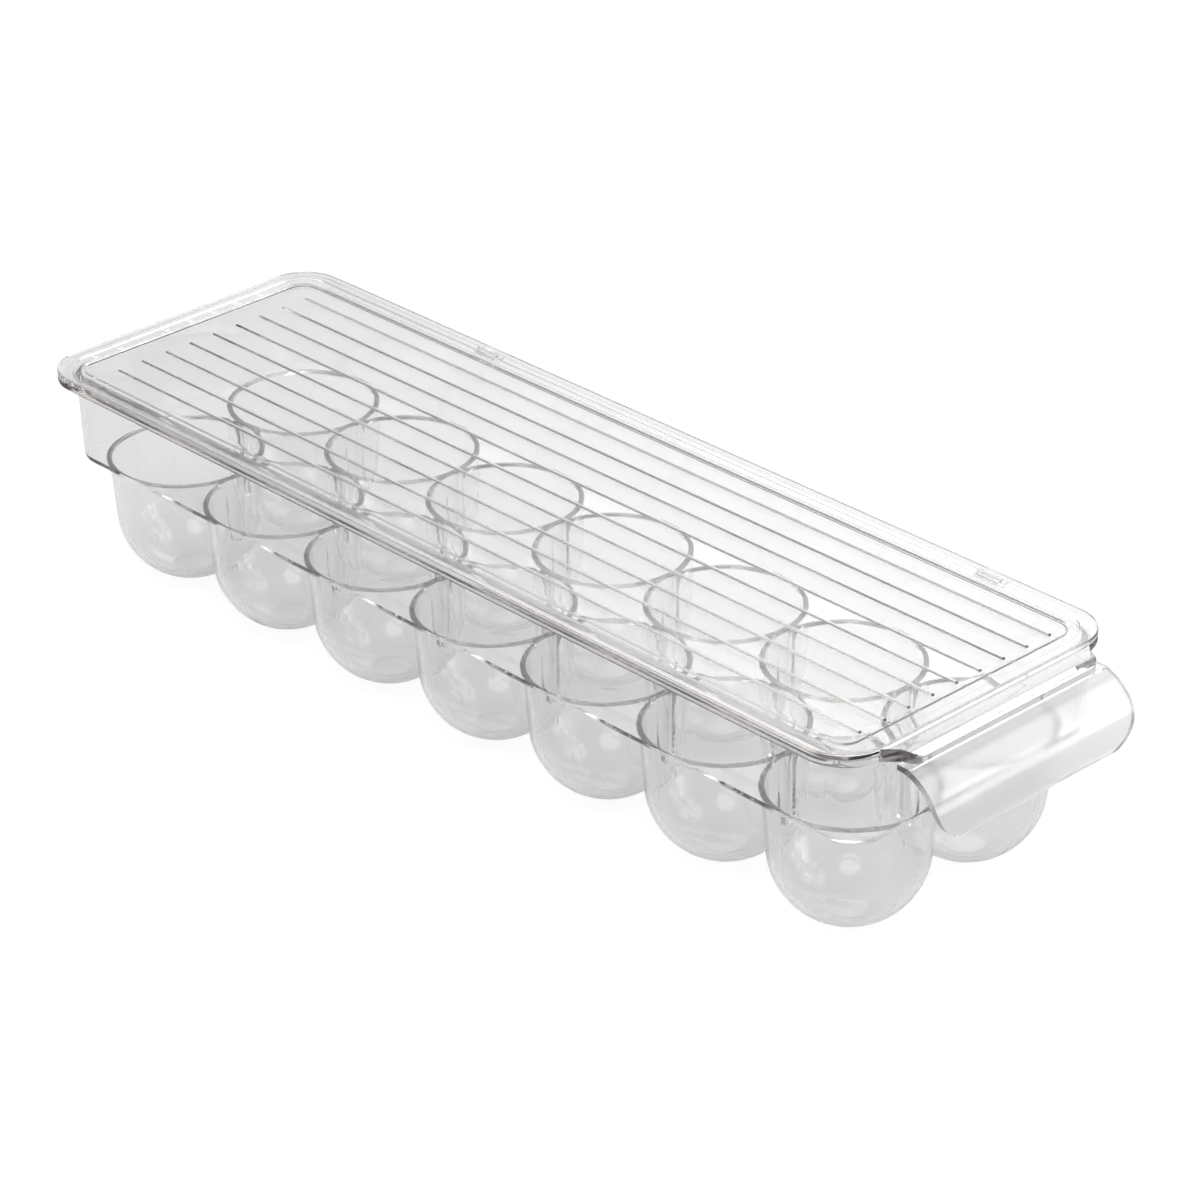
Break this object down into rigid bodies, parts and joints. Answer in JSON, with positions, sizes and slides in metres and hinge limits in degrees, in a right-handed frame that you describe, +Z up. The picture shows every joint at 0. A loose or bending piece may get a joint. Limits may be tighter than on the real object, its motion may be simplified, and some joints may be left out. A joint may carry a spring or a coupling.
{
  "type": "egg keeper with flip lid",
  "caption": "Long clear plastic tray with two rows of round egg cups, a curved pull handle at one end and a ribbed flat lid that flips up on a side hinge.",
  "frame": {"origin": "on the ground under the cups' flat feet, below the middle of the whole outline", "axes": "+Z is up, +Y runs along the tray away from the pull handle, and +X points to the side of the lid's hinge"},
  "size_m": [0.11, 0.368, 0.0707],
  "materials": {
    "clear_plastic": "gloss"
  },
  "bodies": {
    "tray": {"tray_wall": "clear_plastic", "tray_rim": "clear_plastic", "cup_deck": "clear_plastic", "egg_cup_1": "clear_plastic", "egg_cup_2": "clear_plastic", "egg_cup_3": "clear_plastic", "egg_cup_4": "clear_plastic", "egg_cup_5": "clear_plastic", "egg_cup_6": "clear_plastic", "egg_cup_7": "clear_plastic", "egg_cup_8": "clear_plastic", "egg_cup_9": "clear_plastic", "egg_cup_10": "clear_plastic", "egg_cup_11": "clear_plastic", "egg_cup_12": "clear_plastic", "egg_cup_13": "clear_plastic", "egg_cup_14": "clear_plastic", "front_shelf": "clear_plastic", "pull_handle": "clear_plastic", "front_hinge_bar": "clear_plastic", "rear_hinge_bar": "clear_plastic"},
    "lid": {"lid_panel": "clear_plastic", "front_hinge_clip": "clear_plastic", "rear_hinge_clip": "clear_plastic"}
  },
  "joints": [
    {"name": "lid_hinge", "type": "hinge", "parent": "tray", "child": "lid", "pos_m": [0.0538, 0, 0.0674], "axis": [0, 1, 0], "range_deg": [0, 110]}
  ]
}
